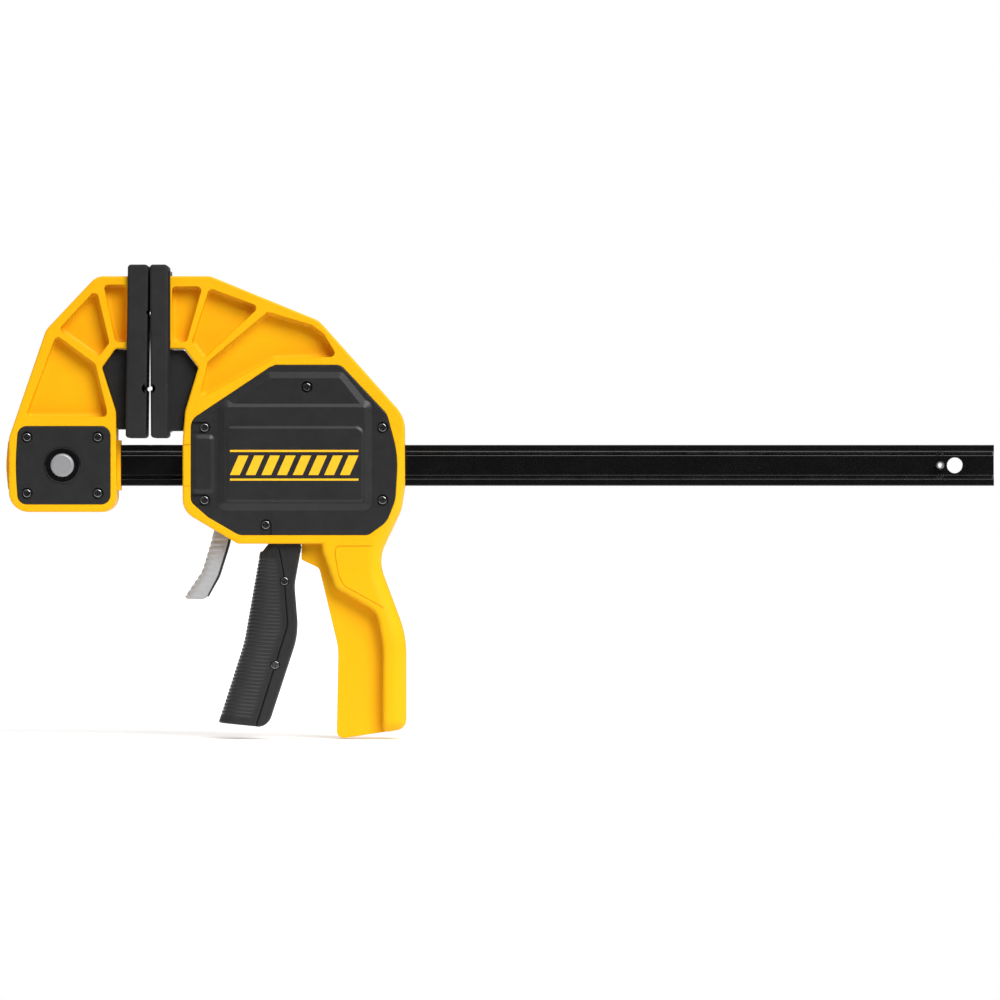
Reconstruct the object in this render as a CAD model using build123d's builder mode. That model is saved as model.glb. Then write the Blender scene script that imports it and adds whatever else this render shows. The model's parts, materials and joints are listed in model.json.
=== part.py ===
"""One-handed bar clamp with a trigger drive: I-section bar, fixed jaw, sliding jaw with handle.

Frame: +X along the bar towards the free end, +Z from the handle towards the jaws, +Y away from
the side that carries the release button. The origin is on the bar's axis, at the plane where the
two pads meet. All sizes are in millimetres.
"""

import os

from build123d import *

# ---------------------------------------------------------------- driving sizes
# Bar
bar_length = 557.0
bar_height = 23.6
flange_width = 10.0
flange_lip = 3.7
flange_slope = 2.5
web_thickness = 5.0
end_hole_diameter = 9.0
end_hole_inset = 22.4
stop_pin_diameter = 4.4
stop_pin_length = 16.0
stop_pin_to_hole = 8.5

# Jaws
throat_depth = 96.6
arm_depth = 41.6
half_thickness = 19.0
cover_thickness = 3.0
arm_web = 21.0
pocket_round = 2.2
edge_round = 1.2
fixed_arm_end = 9.9
moving_arm_end = 12.0
latch_x = -49.8

# Pads
pad_overhang = 6.6
pad_bottom = 15.7
pad_wall = 3.3
upper_notch_radius = 1.0
upper_notch_depth = 10.0
lower_notch_radius = 1.2

# Latch in the fixed jaw
button_diameter = 13.6
button_travel = 4.5
bezel_diameter = 20.8
latch_pin_diameter = 8.8

# Trigger, drive and brake in the sliding jaw
pivot_pin_diameter = 6.0
brake_pin_diameter = 4.0
drive_plate_thickness = 2.5
drive_plate_count = 3
brake_thickness = 2.4
fork_thickness = 3.5

# Fasteners
screw_head_diameter = 4.8
screw_recess_diameter = 6.7
screw_shank_diameter = 2.8

# Clearances
slide_gap = 0.15
pin_gap = 0.05
seat_gap = 0.1

# ---------------------------------------------------------------- derived places
bar_half = bar_height / 2
flange_half = flange_width / 2
bar_left = latch_x - end_hole_inset
bar_right = bar_left + bar_length
hang_hole_x = bar_right - end_hole_inset
jaw_top = bar_half + throat_depth
arm_underside = jaw_top - arm_depth
pad_top = jaw_top + pad_overhang
cavity_half = half_thickness - cover_thickness
fork_outer = cavity_half - 1.5
fork_inner = fork_outer - fork_thickness
handle_web_half = fork_inner - 2.5
pivot_x = 80.0
pivot_z = bar_half + 19.2
brake_pivot_x = 51.5
brake_pivot_z = bar_half + 6.7
drive_spring_z = bar_half + 4.8
brake_spring_z = -(bar_half + 6.7)

FRONT = -1
BACK = 1


# ---------------------------------------------------------------- shared shapes
def profile(points, radii=0.0, out=0.0):
    """Closed outline in a plane parallel to XZ, out millimetres towards -Y."""
    with BuildSketch(Plane.XZ.offset(out)) as sketch:
        with BuildLine():
            FilletPolyline(*points, radius=radii, close=True)
        make_face()
    return sketch.sketch


def disc(x, z, diameter, out=0.0):
    """Circle in a plane parallel to XZ, out millimetres towards -Y."""
    with BuildSketch(Plane.XZ.offset(out)) as sketch:
        with Locations((x, z)):
            Circle(diameter / 2)
    return sketch.sketch


def box_profile(x_low, x_high, z_low, z_high, out=0.0):
    """Rectangle in a plane parallel to XZ, out millimetres towards -Y."""
    corners = [(x_low, z_low), (x_high, z_low), (x_high, z_high), (x_low, z_high)]
    return profile(corners, 0.0, out)


def screw(shank_length, head_height=1.6):
    """Cross-recessed pan-head screw along Y, its head towards -Y and its seat at y = 0."""
    slot_depth = head_height * 0.55
    with BuildPart() as part:
        extrude(disc(0, 0, screw_head_diameter), amount=head_height)
        fillet(part.edges().filter_by(GeomType.CIRCLE).sort_by(Axis.Y)[0], head_height * 0.4)
        extrude(disc(0, 0, screw_shank_diameter), amount=-shank_length)
        slot_out = head_height - slot_depth
        long_slot = box_profile(-1.7, 1.7, -0.4, 0.4, slot_out)
        cross_slot = box_profile(-0.4, 0.4, -1.7, 1.7, slot_out)
        extrude(long_slot, amount=head_height, mode=Mode.SUBTRACT)
        extrude(cross_slot, amount=head_height, mode=Mode.SUBTRACT)
    return part.part


def coil_spring(start, direction, length, outer_diameter, wire, turns):
    """Compression spring that fills the given length from start along direction."""
    wire_gap = wire / 2 + seat_gap
    rise = length - 2 * wire_gap
    first_turn = Vector(*start) + Vector(*direction) * wire_gap
    with BuildPart() as spring:
        with BuildLine() as path:
            Helix(rise / turns, rise, (outer_diameter - wire) / 2, first_turn, direction)
        with BuildSketch(Plane(path.line @ 0, z_dir=path.line % 0)):
            Circle(wire / 2)
        sweep(path=path.line, is_frenet=True)
    return spring.part


def rim_edges(part, x_range, z_range):
    """Edges of both outer faces whose middles lie within the ranges."""
    rims = [edge for edge in part.edges() if abs(abs(edge.center().Y) - half_thickness) < 0.001]
    rims = [edge for edge in rims if x_range[0] < edge.center().X < x_range[1]]
    return [edge for edge in rims if z_range[0] < edge.center().Z < z_range[1]]


def save(part, name):
    """Label a finished piece and write it as its own STEP file."""
    part.label = name
    export_step(part, f"parts/{name}.step")


os.makedirs("parts", exist_ok=True)

# ---------------------------------------------------------------- bar
with BuildPart() as bar:
    quarter = [
        (flange_half, bar_half),
        (flange_half, bar_half - flange_lip),
        (web_thickness / 2, bar_half - flange_lip - flange_slope),
    ]
    right_side = quarter + [(y, -z) for y, z in reversed(quarter)]
    section = right_side + [(-y, z) for y, z in reversed(right_side)]
    with BuildSketch(Plane.YZ.offset(bar_left)) as bar_section:
        with BuildLine():
            Polyline(*section, close=True)
        make_face()
        fillet(bar_section.vertices(), 0.6)
    extrude(amount=bar_length)
    for hole_x in (latch_x, hang_hole_x):
        extrude(disc(hole_x, 0, end_hole_diameter), amount=flange_width, both=True, mode=Mode.SUBTRACT)
    stop_pin_x = hang_hole_x - stop_pin_to_hole
    stop_hole = disc(stop_pin_x, 0, stop_pin_diameter)
    extrude(stop_hole, amount=flange_width, both=True, mode=Mode.SUBTRACT)

# Slotted spring pin that stops the sliding jaw at the end of the bar
with BuildPart() as bar_stop_pin:
    stop_pin_bore = stop_pin_diameter - 1.6
    extrude(disc(stop_pin_x, 0, stop_pin_diameter - 0.02), amount=stop_pin_length / 2, both=True)
    extrude(disc(stop_pin_x, 0, stop_pin_bore), amount=stop_pin_length, both=True, mode=Mode.SUBTRACT)
    pin_slot = box_profile(stop_pin_x - 0.4, stop_pin_x + 0.4, 0, stop_pin_diameter)
    extrude(pin_slot, amount=stop_pin_length, both=True, mode=Mode.SUBTRACT)

# ---------------------------------------------------------------- fixed jaw
jaw_left = latch_x - 30.7
jaw_right = latch_x + 31.0
socket_half_height = bar_half + 2.6
socket_half_width = flange_half + 3.0
latch_half_width = 5.0
latch_leg_inner = bar_half + 0.5
latch_leg_outer = latch_leg_inner + 2.9
fixed_screws = [(latch_x + side * 20.3, level * 16.1) for side in (-1, 1) for level in (-1, 1)]
peg_levels = (arm_underside + 9.2, jaw_top - 9.4)
peg_diameter = 5.0
peg_reach = 9.0

fixed_jaw_outline = profile(
    [
        (-fixed_arm_end, jaw_top),
        (-fixed_arm_end, arm_underside),
        (-19.4, arm_underside),
        (-27.2, arm_underside - 10.9),
        (-19.1, 30.6),
        (jaw_right, -26.8),
        (jaw_left, -26.8),
        (jaw_left, 15.7),
        (-59.2, jaw_top - 30.7),
        (-30.3, jaw_top),
    ],
    [0, 0, 2, 2, 12, 9, 11.5, 6, 10, 10],
)
fixed_jaw_pockets = [
    profile(
        [
            (-71.1, 27.7),
            (-24.0, 27.7),
            (-24.6, 32.9),
            (-30.9, arm_underside - 8.7),
            (-53.3, arm_underside + 8.0),
        ],
        2.4,
    ),
    profile(
        [
            (-52.1, jaw_top - 30.7),
            (-30.3, jaw_top - 7.2),
            (-22.8, arm_underside + 3.4),
            (-29.2, arm_underside - 5.2),
        ],
        2.4,
    ),
    profile(
        [
            (-26.3, jaw_top - 4.9),
            (-12.6, jaw_top - 4.9),
            (-12.6, arm_underside + 3.7),
            (-19.5, arm_underside + 3.7),
        ],
        2.4,
    ),
]


def cover_outline(points, radii, clearance, out):
    """A cover's outline grown by a clearance."""
    with BuildSketch(Plane.XZ.offset(out)) as sketch:
        with BuildLine():
            FilletPolyline(*points, radius=radii, close=True)
        make_face()
        offset(amount=clearance, kind=Kind.ARC)
    return sketch.sketch


def pocket_space(outline, side):
    """The space of an arm's pocket on one side of its web, rounded where it meets the web."""
    with BuildPart() as space:
        floor = outline.moved(Location((0, side * arm_web / 2, 0)))
        extrude(floor, amount=half_thickness, dir=(0, side, 0))
        fillet(space.faces().sort_by(Axis.Y)[0 if side == BACK else -1].edges(), pocket_round)
    return space.part


fixed_cover_points = [
    (latch_x - 25.4, 22.4),
    (latch_x - 27.0, 0),
    (latch_x - 25.4, -22.4),
    (latch_x + 27.5, -22.4),
    (latch_x + 27.5, 22.4),
]
fixed_cover_radii = [5.3, 150, 5.3, 5.3, 5.3]

with BuildPart() as fixed_jaw:
    extrude(fixed_jaw_outline, amount=half_thickness, both=True)
    fillet(rim_edges(fixed_jaw, (-200, -fixed_arm_end - 0.1), (-200, 200)), edge_round)
    for pocket in fixed_jaw_pockets:
        for side in (FRONT, BACK):
            add(pocket_space(pocket, side), mode=Mode.SUBTRACT)
    # Seats for the two covers
    for side in (FRONT, BACK):
        seat = cover_outline(fixed_cover_points, fixed_cover_radii, seat_gap, -side * cavity_half)
        extrude(seat, amount=half_thickness, dir=(0, side, 0), mode=Mode.SUBTRACT)
        ring = disc(latch_x, 0, bezel_diameter + 3.0, -side * (cavity_half - 1.3))
        extrude(ring, amount=half_thickness, dir=(0, side, 0), mode=Mode.SUBTRACT)
    button_depth = cavity_half - 1.9 - button_travel
    button_bore = disc(latch_x, 0, button_diameter + 4 * seat_gap, button_depth)
    extrude(button_bore, amount=half_thickness, mode=Mode.SUBTRACT)
    # Slot for the latch yoke and passage for the bar sockets
    latch_slot = box_profile(
        latch_x - latch_half_width - 0.6,
        latch_x + latch_half_width + 0.6,
        -latch_leg_outer - 0.6,
        latch_leg_outer + 0.6,
    )
    extrude(latch_slot, amount=half_thickness, both=True, mode=Mode.SUBTRACT)
    passage_half = socket_half_height + seat_gap
    passage = box_profile(jaw_left - 5, jaw_right + 5, -passage_half, passage_half)
    extrude(passage, amount=socket_half_width + seat_gap, both=True, mode=Mode.SUBTRACT)
    # Screw holes
    for x, z in fixed_screws:
        hole = disc(x, z, screw_shank_diameter + 2 * pin_gap)
        extrude(hole, amount=half_thickness, both=True, mode=Mode.SUBTRACT)
    # Blind holes for the pad carrier's pegs
    for level in peg_levels:
        with BuildSketch(Plane.YZ.offset(-fixed_arm_end - peg_reach - 0.5)):
            with Locations((0, level)):
                Circle(peg_diameter / 2 + pin_gap)
        extrude(amount=peg_reach + 1, mode=Mode.SUBTRACT)

# Closed socket over the bar's end, and open socket on the pad side
socket_left = latch_x - 32.5
socket_window = latch_half_width + 2.0

with BuildPart() as bar_end_socket:
    end_outline = profile(
        [
            (socket_left + 0.9, socket_half_height),
            (socket_left - 0.4, 0),
            (socket_left + 0.9, -socket_half_height),
            (latch_x - socket_window, -socket_half_height),
            (latch_x - socket_window, socket_half_height),
        ],
        [1.5, 60, 1.5, 0, 0],
    )
    extrude(end_outline, amount=socket_half_width, both=True)
    bar_bore = box_profile(bar_left - seat_gap, latch_x, -bar_half - slide_gap, bar_half + slide_gap)
    extrude(bar_bore, amount=flange_half + slide_gap, both=True, mode=Mode.SUBTRACT)

with BuildPart() as bar_inner_socket:
    inner_outline = box_profile(
        latch_x + socket_window, jaw_right + 2.0, -socket_half_height, socket_half_height
    )
    extrude(inner_outline, amount=socket_half_width, both=True)
    bar_bore = box_profile(latch_x, jaw_right + 5, -bar_half - slide_gap, bar_half + slide_gap)
    extrude(bar_bore, amount=flange_half + slide_gap, both=True, mode=Mode.SUBTRACT)

# Covers of the fixed jaw
def fixed_cover():
    """Cover with its screw recesses, still without the opening at its middle."""
    with BuildPart() as cover:
        outline = cover_outline(fixed_cover_points, fixed_cover_radii, 0, cavity_half)
        extrude(outline, amount=cover_thickness)
        fillet(cover.faces().sort_by(Axis.Y)[0].edges(), 0.6)
        for x, z in fixed_screws:
            recess = disc(x, z, screw_recess_diameter, cavity_half + 1.4)
            extrude(recess, amount=cover_thickness, mode=Mode.SUBTRACT)
            hole = disc(x, z, screw_shank_diameter + 0.4)
            extrude(hole, amount=half_thickness, mode=Mode.SUBTRACT)
    return cover.part


with BuildPart() as fixed_cover_front:
    add(fixed_cover())
    bezel_hole = disc(latch_x, 0, bezel_diameter + 2 * seat_gap)
    extrude(bezel_hole, amount=half_thickness, mode=Mode.SUBTRACT)

with BuildPart() as fixed_cover_back:
    add(fixed_cover())
    spring_well = disc(latch_x, 0, latch_pin_diameter, 0)
    extrude(spring_well, amount=cavity_half + 1.9, mode=Mode.SUBTRACT)
    mirror(about=Plane.XZ, mode=Mode.REPLACE)

# Screws of the fixed jaw's covers, four on each side
with BuildPart() as fixed_cover_screws:
    with Locations(*[(x, -cavity_half - 1.4, z) for x, z in fixed_screws]):
        add(screw(9.0))
    mirror(about=Plane.XZ)

# ---------------------------------------------------------------- latch
# Ring round the button, held behind the cover by its lip
with BuildPart() as release_bezel:
    extrude(disc(latch_x, 0, bezel_diameter + 2.2, cavity_half - 1.1), amount=1.0)
    extrude(disc(latch_x, 0, bezel_diameter, cavity_half - 1.1), amount=cover_thickness + 2.3)
    rim = release_bezel.edges().filter_by(GeomType.CIRCLE).sort_by(Axis.Y)[0]
    chamfer(rim, 0.8)
    button_hole = disc(latch_x, 0, button_diameter + 2 * seat_gap)
    extrude(button_hole, amount=half_thickness * 2, mode=Mode.SUBTRACT)

bridge_front = cavity_half - 1.4
with BuildPart() as release_button:
    extrude(disc(latch_x, 0, button_diameter, bridge_front), amount=half_thickness - bridge_front + 2.2)
    crown = release_button.edges().filter_by(GeomType.CIRCLE).sort_by(Axis.Y)[0]
    fillet(crown, 1.6)

# Yoke that carries the button's push round the bar to the latch pin behind it
rear_bridge = flange_half + 2.0
bridge_thickness = 2.3
with BuildPart() as latch_yoke:
    yoke_face = box_profile(
        latch_x - latch_half_width,
        latch_x + latch_half_width,
        -latch_leg_outer,
        latch_leg_outer,
        bridge_front,
    )
    extrude(yoke_face, amount=-(bridge_front + rear_bridge + bridge_thickness))
    window = box_profile(
        latch_x - latch_half_width - 1,
        latch_x + latch_half_width + 1,
        -latch_leg_inner,
        latch_leg_inner,
        bridge_front - bridge_thickness,
    )
    window_depth = bridge_front - bridge_thickness + rear_bridge
    extrude(window, amount=-window_depth, mode=Mode.SUBTRACT)

with BuildPart() as latch_pin:
    tip_y = 1.0
    extrude(disc(latch_x, 0, latch_pin_diameter, tip_y), amount=-(rear_bridge + tip_y))
    tip = latch_pin.edges().filter_by(GeomType.CIRCLE).sort_by(Axis.Y)[0]
    chamfer(tip, 0.6)

latch_spring_start = rear_bridge + bridge_thickness
latch_spring_length = cavity_half + 1.9 - latch_spring_start
with BuildPart() as latch_spring:
    add(coil_spring((latch_x, latch_spring_start, 0), (0, 1, 0), latch_spring_length, 7.6, 0.8, 4))


# ---------------------------------------------------------------- pads and their carriers
def pad_carrier(direction, arm_end, gusset_points):
    """Hard plate on an arm's end, with the gusset under the arm and two pegs into the arm."""
    plate_front = 6.6
    plate_bottom = pad_bottom + 3.4
    plate_top = pad_top - 3.6
    with BuildPart() as carrier:
        plate = [
            (direction * plate_front, plate_bottom),
            (direction * (arm_end - seat_gap), plate_bottom),
            (direction * (arm_end - seat_gap), plate_top),
            (direction * plate_front, plate_top),
        ]
        extrude(profile(plate), amount=half_thickness, both=True)
        gusset = profile([(direction * x, z) for x, z in gusset_points], [0, 0, 1.5, 1.5, 12, 0])
        extrude(gusset, amount=half_thickness - 6.0, both=True)
        for level in (plate_bottom + 16, plate_top - 16):
            with BuildSketch(Plane.YZ.offset(direction * (plate_front - 1))):
                with Locations((0, level)):
                    Circle(4.1)
            extrude(amount=direction * 5, mode=Mode.SUBTRACT)
        for level in peg_levels:
            with BuildSketch(Plane.YZ.offset(direction * (arm_end - 1))):
                with Locations((0, level)):
                    Circle(peg_diameter / 2)
            extrude(amount=direction * (peg_reach + 1))
    return carrier.part


def pad(direction, face_top, face_bottom, back_top, back_bottom):
    """Soft pad that wraps the carrier's plate, with two notches across its face."""
    inner_face = 6.5
    with BuildPart() as soft:
        outer = profile(
            [
                (direction * face_top, pad_top),
                (direction * face_bottom, pad_bottom),
                (direction * back_bottom, pad_bottom),
                (direction * back_top, pad_top),
            ],
            1.5,
        )
        pad_half_width = half_thickness + 0.2 + pad_wall
        extrude(outer, amount=pad_half_width, both=True)
        sides = soft.faces().filter_by(Axis.Y).edges()
        fillet(sides, 0.8)
        x_low, x_high = sorted((direction * inner_face, direction * 30))
        pocket = box_profile(x_low, x_high, pad_bottom + pad_wall, pad_top - pad_wall - 0.2)
        extrude(pocket, amount=half_thickness + 0.2, both=True, mode=Mode.SUBTRACT)
        # The lower notch runs across the whole face, the upper one only in from both sides
        for level, radius, depth in [
            (pad_top - 27.4, upper_notch_radius, upper_notch_depth),
            (pad_bottom + 28.3, lower_notch_radius, pad_half_width + 1),
        ]:
            share = (pad_top - level) / (pad_top - pad_bottom)
            face_x = direction * (face_top + (face_bottom - face_top) * share)
            for side in (FRONT, BACK):
                notch = disc(face_x, level, 2 * radius, -side * (pad_half_width + 1))
                extrude(notch, amount=depth + 1, dir=(0, -side, 0), mode=Mode.SUBTRACT)
        for level in (pad_bottom + 3.4 + 16, pad_top - 3.6 - 16):
            with BuildSketch(Plane.YZ.offset(direction * (inner_face - 0.5))):
                with Locations((0, level)):
                    Circle(4.0)
            extrude(amount=direction * 2.4)
    return soft.part


with BuildPart() as fixed_pad_carrier:
    fixed_gusset = [
        (9.0, 20.6),
        (9.0, arm_underside - 0.5),
        (19.6, arm_underside - 0.5),
        (26.6, arm_underside - 10.8),
        (18.8, 31.4),
        (18.4, 20.6),
    ]
    add(pad_carrier(-1, fixed_arm_end, fixed_gusset))

with BuildPart() as fixed_pad:
    add(pad(-1, face_top=0.4, face_bottom=1.7, back_top=12.2, back_bottom=13.5))

with BuildPart() as moving_pad_carrier:
    moving_gusset = [
        (9.0, 19.7),
        (9.0, arm_underside - 0.6),
        (19.6, arm_underside - 0.6),
        (27.3, arm_underside - 10.9),
        (19.9, 31.2),
        (18.7, 19.7),
    ]
    add(pad_carrier(1, moving_arm_end, moving_gusset))

with BuildPart() as moving_pad:
    add(pad(1, face_top=0.3, face_bottom=1.0, back_top=10.8, back_bottom=10.8))

# ---------------------------------------------------------------- housing
housing_right = 146.2
handle_back = 147.2
housing_bottom = -45.0
cavity_wall = 3.0
boss_diameter = 8.0
upper_screw_z = bar_half + 9.8
lower_screw_z = -(bar_half + 8.2)
# Each cover screw, and the point on the wall that a rib ties its boss to
housing_screws = {
    (90.3, 44.9): (90.3, 55.5),
    (31.7, upper_screw_z): (25.5, upper_screw_z),
    (133.7, upper_screw_z): (138.0, upper_screw_z),
    (31.7, lower_screw_z): (26.0, lower_screw_z),
    (133.7, lower_screw_z): (140.0, lower_screw_z),
    (66.8, -34.2): (66.8, -38.5),
}
lug_half_width = fork_inner - 0.7
fork_eye_diameter = 16.0
arm_slot = (71.4, 101.0, housing_bottom - 3, -30.0)
grip_slot = (66.3, 75.0, housing_bottom - 3, -41.2)
spring_wall_x = 112.0
spring_wall_thickness = 3.0
brake_half_width = 9.0
brake_rib_x = 62.0
brake_slot = (35.8, 56.0)

back_edge = [
    (housing_right + 0.3, -11.9),
    (144.4, -25.5),
    (131.0, -54.5),
    (handle_back, -98),
    (handle_back, -151.2),
]
back_edge_radii = [0, 20, 22, 60, 6]
housing_outline = profile(
    [
        (moving_arm_end, jaw_top),
        (35.0, jaw_top),
        (97.2, jaw_top - 25.5),
        (housing_right, 28.0),
        *back_edge,
        (133.7, -153.5),
        (133.7, -103),
        (130.0, -84.0),
        (106.5, -70.5),
        (99.2, -50.0),
        (98.4, housing_bottom),
        (50.6, housing_bottom),
        (19.1, -26.3),
        (19.1, 14.5),
        (20.5, 31.2),
        (28.0, arm_underside - 10.9),
        (20.0, arm_underside),
        (moving_arm_end, arm_underside),
    ],
    [0, 10, 12, 20, *back_edge_radii, 0, 40, 12, 6, 0, 0, 4, 12, 20, 12, 2, 2, 0],
)
handle_web_outline = profile(
    [
        (87.0, housing_bottom + 4),
        (87.0, -54.2),
        (97.2, -59.0),
        (108.2, -105.0),
        (107.2, -157.2),
        *reversed(back_edge[2:]),
        (131.0, housing_bottom + 4),
    ],
    [0, 1, 4, 40, 4, 6, 60, 22, 0],
)
panel_line = [
    (133.5, -46.4),
    (106.8, -46.4),
    (106.4, -51.4),
    (108.5, -63.3),
    (111.5, -69.1),
    (134.2, -81.8),
]
groove_width = 0.5
groove_depth = 0.35
arm_pockets = [
    profile(
        [
            (13.0, jaw_top - 5.9),
            (30.5, jaw_top - 5.9),
            (21.4, arm_underside + 3.7),
            (13.0, arm_underside + 3.7),
        ],
        2.4,
    ),
    profile(
        [
            (34.4, jaw_top - 6.8),
            (63.3, jaw_top - 17.5),
            (31.1, arm_underside - 6.1),
            (24.2, arm_underside + 3.4),
        ],
        2.4,
    ),
    profile(
        [
            (67.8, jaw_top - 20.4),
            (93.1, jaw_top - 27.9),
            (100.0, jaw_top - 33.0),
            (108.0, 62.2),
            (71.3, 61.0),
            (28.2, 37.5),
            (33.4, arm_underside - 7.5),
        ],
        2.4,
    ),
]
cover_points = [
    (72.4, 57.5),
    (109.7, 57.5),
    (136.2, 29.4),
    (142.5, 5.9),
    (141.0, -19.9),
    (136.0, -32.5),
    (125.6, -40.0),
    (51.5, -40.0),
    (33.7, -29.7),
    (23.8, -21.0),
    (23.8, 26.0),
    (69.3, 56.3),
]
cover_radii = [0.5, 6, 9, 60, 20, 12, 6, 8, 4, 5, 8, 4]

with BuildPart() as housing:
    extrude(housing_outline, amount=half_thickness, both=True)
    # Well-rounded palm and ridge on the handle, small rounds on the rest
    fillet(rim_edges(housing, (134, 200), (-200, -12.5)), 8.0)
    fillet(rim_edges(housing, (98, 134), (-200, housing_bottom - 2)), 3.0)
    fillet(rim_edges(housing, (moving_arm_end + 0.1, 200), (housing_bottom - 1, 200)), edge_round)
    extrude(handle_web_outline, amount=handle_web_half, both=True)
    for pocket in arm_pockets:
        for side in (FRONT, BACK):
            add(pocket_space(pocket, side), mode=Mode.SUBTRACT)
    # Cavity under the covers, and the covers' seats
    cavity = cover_outline(cover_points, cover_radii, -cavity_wall, 0)
    extrude(cavity, amount=half_thickness, both=True, mode=Mode.SUBTRACT)
    for side in (FRONT, BACK):
        seat = cover_outline(cover_points, cover_radii, seat_gap, -side * cavity_half)
        extrude(seat, amount=half_thickness, dir=(0, side, 0), mode=Mode.SUBTRACT)
    # Bosses and their ribs
    for (x, z), (wall_x, wall_z) in housing_screws.items():
        extrude(disc(x, z, boss_diameter), amount=cavity_half, both=True)
        x_low, x_high = sorted((x, wall_x))
        z_low, z_high = sorted((z, wall_z))
        grow_x, grow_z = (0, 1.5) if x_low < x_high else (1.5, 0)
        rib = box_profile(x_low - grow_x, x_high + grow_x, z_low - grow_z, z_high + grow_z)
        extrude(rib, amount=cavity_half - 1, both=True)
        hole = disc(x, z, screw_shank_diameter + 2 * pin_gap)
        extrude(hole, amount=cavity_half, both=True, mode=Mode.SUBTRACT)
    # Lug that carries the trigger's pivot between the fork arms
    lug = box_profile(pivot_x - fork_eye_diameter / 2, pivot_x + fork_eye_diameter / 2, pivot_z, 56.0)
    extrude(lug, amount=lug_half_width, both=True)
    extrude(disc(pivot_x, pivot_z, fork_eye_diameter), amount=lug_half_width, both=True)
    pivot_bore = disc(pivot_x, pivot_z, pivot_pin_diameter + 2 * pin_gap)
    extrude(pivot_bore, amount=half_thickness, both=True, mode=Mode.SUBTRACT)
    # Wall behind the drive springs and rib behind the brake spring
    spring_wall = box_profile(spring_wall_x, spring_wall_x + spring_wall_thickness, -38.0, 54.6)
    extrude(spring_wall, amount=cavity_half, both=True)
    brake_rib = box_profile(brake_rib_x, brake_rib_x + 3.0, -38.0, -bar_half - 1.0)
    extrude(brake_rib, amount=6.0, both=True)
    # Passage for the bar through the end walls and the spring wall
    passage = box_profile(10, 160, -bar_half - 0.4, bar_half + 0.4)
    extrude(passage, amount=flange_half + 0.4, both=True, mode=Mode.SUBTRACT)
    # Slots for the fork arms and for the brake lever
    slot_depth = fork_outer + 0.7 - lug_half_width
    for limits in (arm_slot, grip_slot):
        for side in (FRONT, BACK):
            slot = box_profile(*limits, -side * lug_half_width)
            extrude(slot, amount=slot_depth, dir=(0, side, 0), mode=Mode.SUBTRACT)
    lever_slot = box_profile(*brake_slot, housing_bottom - 5, -24.5)
    extrude(lever_slot, amount=brake_half_width + 0.3, both=True, mode=Mode.SUBTRACT)
    # Blind holes for the pad carrier's pegs
    for level in peg_levels:
        with BuildSketch(Plane.YZ.offset(moving_arm_end - 1)):
            with Locations((0, level)):
                Circle(peg_diameter / 2 + pin_gap)
        extrude(amount=peg_reach + 1.5, mode=Mode.SUBTRACT)
    # Fine mould lines across the narrow rim at the bar's edges
    for x_low, x_high, level in [(15, 23.7, 11.7), (15, 23.7, -11.9), (142.3, 150, -11.9)]:
        for side in (FRONT, BACK):
            line_out = -side * (half_thickness - 0.3)
            line = box_profile(x_low, x_high, level - 0.15, level + 0.15, line_out)
            extrude(line, amount=1, dir=(0, side, 0), mode=Mode.SUBTRACT)
    # Fine groove round the panel above the handle
    with BuildSketch(Plane.XZ) as groove:
        with BuildLine() as path:
            FilletPolyline(*panel_line, radius=[2.5, 6, 6, 5])
        trace(path.line, groove_width)
    for side in (FRONT, BACK):
        floor = groove.sketch.moved(Location((0, side * (half_thickness - groove_depth), 0)))
        extrude(floor, amount=1, dir=(0, side, 0), mode=Mode.SUBTRACT)


def raised_field(points, radii, rise, run):
    """Field that stands rise above the cover, with sloping sides run wide."""
    with BuildPart() as field:
        extrude(profile(points, radii, cavity_half + 1), amount=cover_thickness - 1 + rise)
        top = field.faces().sort_by(Axis.Y)[0]
        chamfer(top.edges(), run, rise, reference=top)
    return field.part


def housing_cover():
    """Cover with its stepped fields, screw recesses and sockets for the two pivot pins."""
    upper = [(68.0, 53.5), (111.0, 53.5), (126.6, 34.0), (126.6, 20.0), (40.0, 20.0), (40.0, 34.0)]
    middle = [(39.0, 37.5), (127.6, 37.5), (127.6, -26.0), (39.0, -26.0)]
    centre = [(41.0, 25.6), (126.2, 25.6), (126.2, -24.3), (41.0, -24.3)]
    side_block = [(24.6, 17.5), (37.4, 17.5), (37.4, -16.0), (24.6, -16.0)]
    with BuildPart() as cover:
        extrude(cover_outline(cover_points, cover_radii, 0, cavity_half), amount=cover_thickness)
        fillet(cover.faces().sort_by(Axis.Y)[0].edges(), 0.6)
        add(raised_field(upper, [4.5, 4.5, 4.5, 0, 0, 4.5], 0.8, 3.6))
        add(raised_field(middle, [6.5, 5, 5, 5], 1.5, 4.2))
        add(raised_field(centre, [5.5, 8, 5.5, 5.5], 2.2, 4.6))
        add(raised_field(side_block, 3.0, 0.9, 2.2))
        half_recess = screw_recess_diameter / 2
        recess_floor = cavity_half + 1.4
        for x, z in housing_screws:
            hole = disc(x, z, screw_shank_diameter + 0.4)
            extrude(hole, amount=half_thickness, mode=Mode.SUBTRACT)
            with BuildSketch(Plane.XZ.offset(recess_floor)) as recess:
                add(disc(x, z, screw_recess_diameter, recess_floor))
                # The screws by the pad side and by the trigger sit in pockets open to the edge
                if x < brake_pivot_x:
                    add(box_profile(20.0, x, z - half_recess, z + half_recess, recess_floor))
                elif z < lower_screw_z:
                    add(box_profile(x - half_recess, x + half_recess, -42.0, z, recess_floor))
            extrude(recess.sketch, amount=2 * cover_thickness, mode=Mode.SUBTRACT)
        for x, z, diameter in [
            (pivot_x, pivot_z, pivot_pin_diameter),
            (brake_pivot_x, brake_pivot_z, brake_pin_diameter),
        ]:
            socket = disc(x, z, diameter + 2 * pin_gap)
            extrude(socket, amount=cavity_half + 1.9, mode=Mode.SUBTRACT)
    return cover.part


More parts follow.
